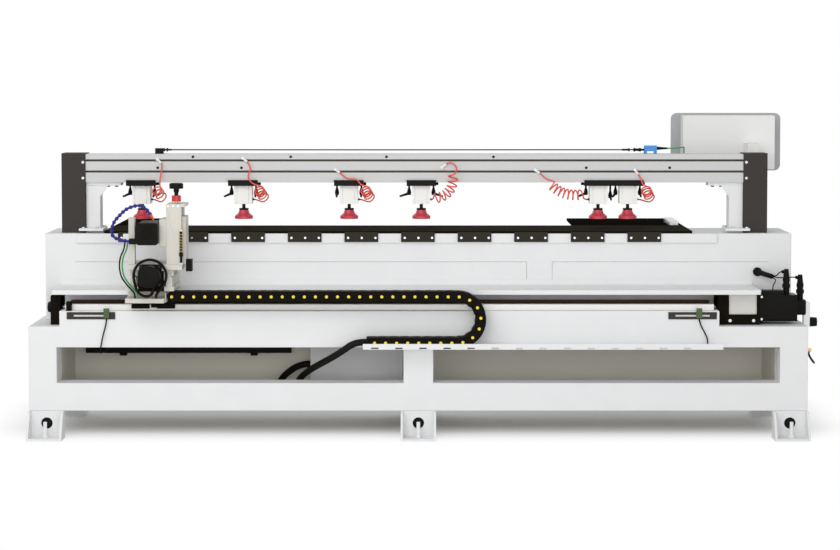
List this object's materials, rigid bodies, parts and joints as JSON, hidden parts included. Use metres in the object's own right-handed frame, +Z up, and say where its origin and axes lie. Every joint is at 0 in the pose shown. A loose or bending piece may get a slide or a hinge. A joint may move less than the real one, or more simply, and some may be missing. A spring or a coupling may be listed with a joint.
{
  "type": "side hole drilling machine",
  "caption": "Long floor-standing side drilling machine: a boring head on a rail carriage with drag chain, a clamping table and pneumatic presses under a gantry beam.",
  "frame": {"origin": "on the floor at the machine's middle, in the plane of the base's front face, on the sole of the middle front foot", "axes": "+X along the machine to the X servo motor, +Y from the drilling head to the table, +Z up"},
  "size_m": [3.4893, 1.235, 1.405],
  "materials": {
    "frame_paint": "satin light grey paint",
    "inner_paint": "satin beige grey paint",
    "black_plate": "matte black anodised or painted plate",
    "steel": "ground or brushed steel",
    "bright_steel": "polished shaft",
    "extrusion": "satin anodised profile",
    "cream_aluminium": "machined and clear anodised",
    "motor_black": "black motor paint",
    "chain_plastic": "black nylon",
    "cable_black": "black cable sheath",
    "hose_red": "red polyurethane hose",
    "nozzle_blue": "blue segmented hose",
    "foot_red": "red cast polyurethane",
    "lever_black": "black moulded lever",
    "button_red": "red moulded button",
    "cylinder_white": "clear anodised cylinder body"
  },
  "bodies": {
    "base": {"base_frame": "frame_paint", "levelling_feet": "frame_paint", "base_panels": "inner_paint", "table_body": "frame_paint", "table_top": "black_plate", "fence_plates": "black_plate", "fence_screws": "steel", "x_rails": "steel", "screw_brackets": "black_plate", "x_servo_motor": "motor_black", "shelf_cover": "frame_paint", "chain_tray": "frame_paint", "chain_lower_run": "chain_plastic", "limit_switches": "black_plate", "base_cables": "cable_black", "gantry_beam": "extrusion", "gantry_columns": "black_plate", "pull_cord_switch": "black_plate", "control_box": "frame_paint", "air_regulator": "motor_black", "press_air_hoses": "hose_red"},
    "x_screw": {"x_ball_screw": "bright_steel"},
    "chain_loop": {"chain_bend": "chain_plastic"},
    "carriage": {"carriage": "cream_aluminium", "y_servo_motor": "motor_black", "chain_upper_run": "chain_plastic", "head_cables": "cable_black"},
    "feed_screw": {"y_feed_screw": "bright_steel"},
    "y_slide": {"y_slide": "cream_aluminium"},
    "height_screw": {"height_screw": "steel"},
    "z_slide": {"spindle_carrier": "black_plate", "spindle_motor": "motor_black", "nozzle_hose": "nozzle_blue"},
    "spindle": {"drill_bit": "steel"},
    "regulator_knob": {"regulator_knob": "lever_black"},
    "estop": {"estop_button": "button_red"},
    "press_1": {"press_1_cylinder": "cylinder_white"},
    "press_1_foot": {"press_1_foot": "foot_red"},
    "press_1_left_lever": {"press_1_left_lever": "lever_black"},
    "press_1_right_lever": {"press_1_right_lever": "lever_black"},
    "press_2": {"press_2_cylinder": "cylinder_white"},
    "press_2_foot": {"press_2_foot": "foot_red"},
    "press_2_left_lever": {"press_2_left_lever": "lever_black"},
    "press_2_right_lever": {"press_2_right_lever": "lever_black"},
    "press_3": {"press_3_cylinder": "cylinder_white"},
    "press_3_foot": {"press_3_foot": "foot_red"},
    "press_3_left_lever": {"press_3_left_lever": "lever_black"},
    "press_3_right_lever": {"press_3_right_lever": "lever_black"},
    "press_4": {"press_4_cylinder": "cylinder_white"},
    "press_4_foot": {"press_4_foot": "foot_red"},
    "press_4_left_lever": {"press_4_left_lever": "lever_black"},
    "press_4_right_lever": {"press_4_right_lever": "lever_black"},
    "press_5": {"press_5_cylinder": "cylinder_white"},
    "press_5_foot": {"press_5_foot": "foot_red"},
    "press_5_left_lever": {"press_5_left_lever": "lever_black"},
    "press_5_right_lever": {"press_5_right_lever": "lever_black"},
    "press_6": {"press_6_cylinder": "cylinder_white"},
    "press_6_foot": {"press_6_foot": "foot_red"},
    "press_6_left_lever": {"press_6_left_lever": "lever_black"},
    "press_6_right_lever": {"press_6_right_lever": "lever_black"}
  },
  "joints": [
    {"name": "x_travel", "type": "slide", "parent": "base", "child": "carriage", "axis": [1, 0, 0], "range_m": [-0.195, 2.35], "deforming": ["chain_upper_run", "chain_lower_run"]},
    {"name": "x_screw_turn", "type": "hinge", "parent": "base", "child": "x_screw", "pos_m": [0, 0.1225, 0.562], "axis": [1, 0, 0], "continuous": true},
    {"name": "chain_roll", "type": "slide", "parent": "base", "child": "chain_loop", "axis": [1, 0, 0], "range_m": [-0.0975, 1.175]},
    {"name": "y_feed", "type": "slide", "parent": "carriage", "child": "y_slide", "axis": [0, 1, 0], "range_m": [0, 0.08], "deforming": ["head_cables"]},
    {"name": "y_screw_turn", "type": "hinge", "parent": "carriage", "child": "feed_screw", "pos_m": [-1.15, -0.1, 0.725], "axis": [0, 1, 0], "continuous": true},
    {"name": "height_screw_turn", "type": "hinge", "parent": "y_slide", "child": "height_screw", "pos_m": [-1.048, -0.03, 1], "axis": [0, 0, 1], "range_deg": [-2250, 900]},
    {"name": "z_adjust", "type": "slide", "parent": "y_slide", "child": "z_slide", "axis": [0, 0, 1], "range_m": [-0.01, 0.025]},
    {"name": "spindle_turn", "type": "hinge", "parent": "z_slide", "child": "spindle", "pos_m": [-1.1615, 0, 0.905], "axis": [0, 1, 0], "continuous": true},
    {"name": "regulator_turn", "type": "hinge", "parent": "base", "child": "regulator_knob", "pos_m": [1.756, 0.287, 0.476], "axis": [1, 0, 0], "range_deg": [-150, 150]},
    {"name": "estop_press", "type": "slide", "parent": "base", "child": "estop", "axis": [0, -1, 0], "range_m": [0, 0.006], "stiffness_N_per_m": 600, "springref_m": -0.001},
    {"name": "press_1_slide", "type": "slide", "parent": "base", "child": "press_1", "axis": [1, 0, 0], "range_m": [-0.02, 0.12], "deforming": ["press_air_hoses"]},
    {"name": "press_1_stroke", "type": "slide", "parent": "press_1", "child": "press_1_foot", "axis": [0, 0, -1], "range_m": [0, 0.045], "stiffness_N_per_m": 400, "springref_m": -0.05},
    {"name": "press_1_left_clamp", "type": "hinge", "parent": "press_1", "child": "press_1_left_lever", "pos_m": [-1.299, 0.34, 1.06], "axis": [0, 0, -1], "range_deg": [0, 90]},
    {"name": "press_1_right_clamp", "type": "hinge", "parent": "press_1", "child": "press_1_right_lever", "pos_m": [-1.189, 0.34, 1.06], "axis": [0, 0, 1], "range_deg": [0, 90]},
    {"name": "press_2_slide", "type": "slide", "parent": "base", "child": "press_2", "axis": [1, 0, 0], "range_m": [-0.12, 0.13], "deforming": ["press_air_hoses"]},
    {"name": "press_2_stroke", "type": "slide", "parent": "press_2", "child": "press_2_foot", "axis": [0, 0, -1], "range_m": [0, 0.045], "stiffness_N_per_m": 400, "springref_m": -0.05},
    {"name": "press_2_left_clamp", "type": "hinge", "parent": "press_2", "child": "press_2_left_lever", "pos_m": [-0.842, 0.34, 1.06], "axis": [0, 0, -1], "range_deg": [0, 90]},
    {"name": "press_2_right_clamp", "type": "hinge", "parent": "press_2", "child": "press_2_right_lever", "pos_m": [-0.732, 0.34, 1.06], "axis": [0, 0, 1], "range_deg": [0, 90]},
    {"name": "press_3_slide", "type": "slide", "parent": "base", "child": "press_3", "axis": [1, 0, 0], "range_m": [-0.13, 0.055], "deforming": ["press_air_hoses"]},
    {"name": "press_3_stroke", "type": "slide", "parent": "press_3", "child": "press_3_foot", "axis": [0, 0, -1], "range_m": [0, 0.045], "stiffness_N_per_m": 400, "springref_m": -0.05},
    {"name": "press_3_left_clamp", "type": "hinge", "parent": "press_3", "child": "press_3_left_lever", "pos_m": [-0.367, 0.34, 1.06], "axis": [0, 0, -1], "range_deg": [0, 90]},
    {"name": "press_3_right_clamp", "type": "hinge", "parent": "press_3", "child": "press_3_right_lever", "pos_m": [-0.257, 0.34, 1.06], "axis": [0, 0, 1], "range_deg": [0, 90]},
    {"name": "press_4_slide", "type": "slide", "parent": "base", "child": "press_4", "axis": [1, 0, 0], "range_m": [-0.055, 0.29], "deforming": ["press_air_hoses"]},
    {"name": "press_4_stroke", "type": "slide", "parent": "press_4", "child": "press_4_foot", "axis": [0, 0, -1], "range_m": [0, 0.045], "stiffness_N_per_m": 400, "springref_m": -0.05},
    {"name": "press_4_left_clamp", "type": "hinge", "parent": "press_4", "child": "press_4_left_lever", "pos_m": [-0.042, 0.34, 1.06], "axis": [0, 0, -1], "range_deg": [0, 90]},
    {"name": "press_4_right_clamp", "type": "hinge", "parent": "press_4", "child": "press_4_right_lever", "pos_m": [0.068, 0.34, 1.06], "axis": [0, 0, 1], "range_deg": [0, 90]},
    {"name": "press_5_slide", "type": "slide", "parent": "base", "child": "press_5", "axis": [1, 0, 0], "range_m": [-0.29, 0], "deforming": ["press_air_hoses"]},
    {"name": "press_5_stroke", "type": "slide", "parent": "press_5", "child": "press_5_foot", "axis": [0, 0, -1], "range_m": [0, 0.045], "stiffness_N_per_m": 400, "springref_m": -0.05},
    {"name": "press_5_left_clamp", "type": "hinge", "parent": "press_5", "child": "press_5_left_lever", "pos_m": [0.7545, 0.34, 1.06], "axis": [0, 0, -1], "range_deg": [0, 90]},
    {"name": "press_5_right_clamp", "type": "hinge", "parent": "press_5", "child": "press_5_right_lever", "pos_m": [0.8645, 0.34, 1.06], "axis": [0, 0, 1], "range_deg": [0, 38]},
    {"name": "press_6_slide", "type": "slide", "parent": "base", "child": "press_6", "axis": [1, 0, 0], "range_m": [0, 0.27], "deforming": ["press_air_hoses"]},
    {"name": "press_6_stroke", "type": "slide", "parent": "press_6", "child": "press_6_foot", "axis": [0, 0, -1], "range_m": [0, 0.045], "stiffness_N_per_m": 400, "springref_m": -0.05},
    {"name": "press_6_left_clamp", "type": "hinge", "parent": "press_6", "child": "press_6_left_lever", "pos_m": [0.888, 0.34, 1.06], "axis": [0, 0, -1], "range_deg": [0, 25]},
    {"name": "press_6_right_clamp", "type": "hinge", "parent": "press_6", "child": "press_6_right_lever", "pos_m": [0.998, 0.34, 1.06], "axis": [0, 0, 1], "range_deg": [0, 90]}
  ],
  "couplings": [
    {"joint": "x_screw_turn", "follows": "x_travel", "rad_per_m": -314.16},
    {"joint": "chain_roll", "follows": "x_travel", "ratio": 0.5},
    {"joint": "y_screw_turn", "follows": "y_feed", "rad_per_m": -628.32},
    {"joint": "height_screw_turn", "follows": "z_adjust", "rad_per_m": -1570.8}
  ]
}
